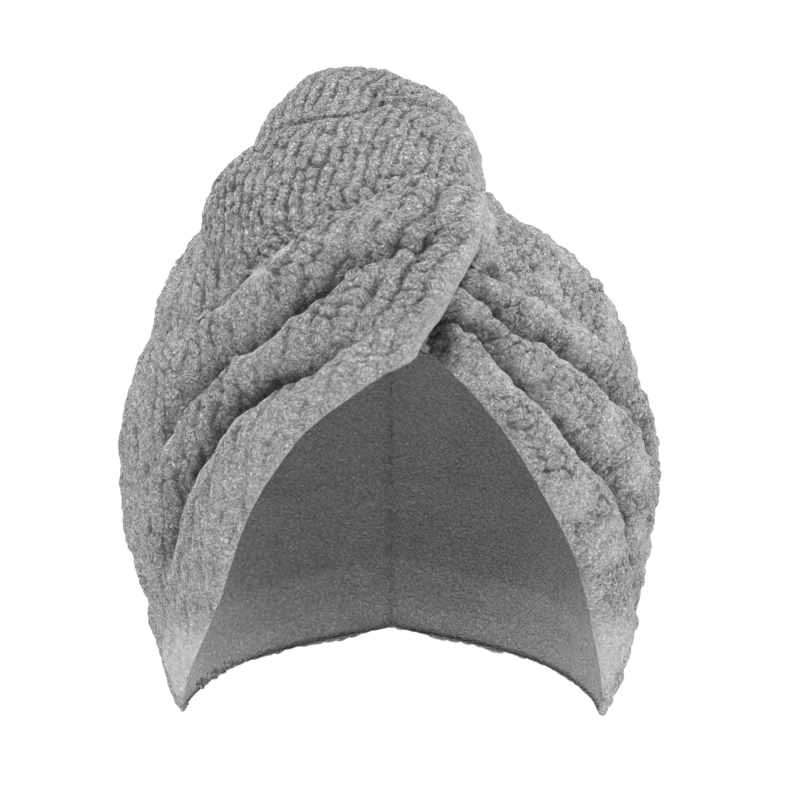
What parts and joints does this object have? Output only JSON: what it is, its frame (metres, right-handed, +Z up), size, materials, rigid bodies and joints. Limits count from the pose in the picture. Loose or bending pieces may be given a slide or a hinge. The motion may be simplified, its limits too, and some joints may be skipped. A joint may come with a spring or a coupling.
{
  "type": "hair turban towel",
  "caption": "Towelling hair turban in its worn shape: folded hood, twisted tail over the crown, and an elastic loop on a nape button.",
  "frame": {"origin": "inside of the hood where the crown of the head touches it, on the seam", "axes": "+Z up, -Y out of the brow opening, +X to the right of a viewer who faces the brow"},
  "size_m": [0.189, 0.2233, 0.2267],
  "materials": {
    "towel": "nubbed microfibre fleece, grey",
    "elastic": "braided round elastic, grey",
    "button": "satin moulded plastic, grey"
  },
  "bodies": {
    "root": {"left_panel": "towel", "right_panel": "towel", "twisted_tail": "towel", "elastic_loop": "elastic", "nape_button": "button"}
  },
  "joints": []
}
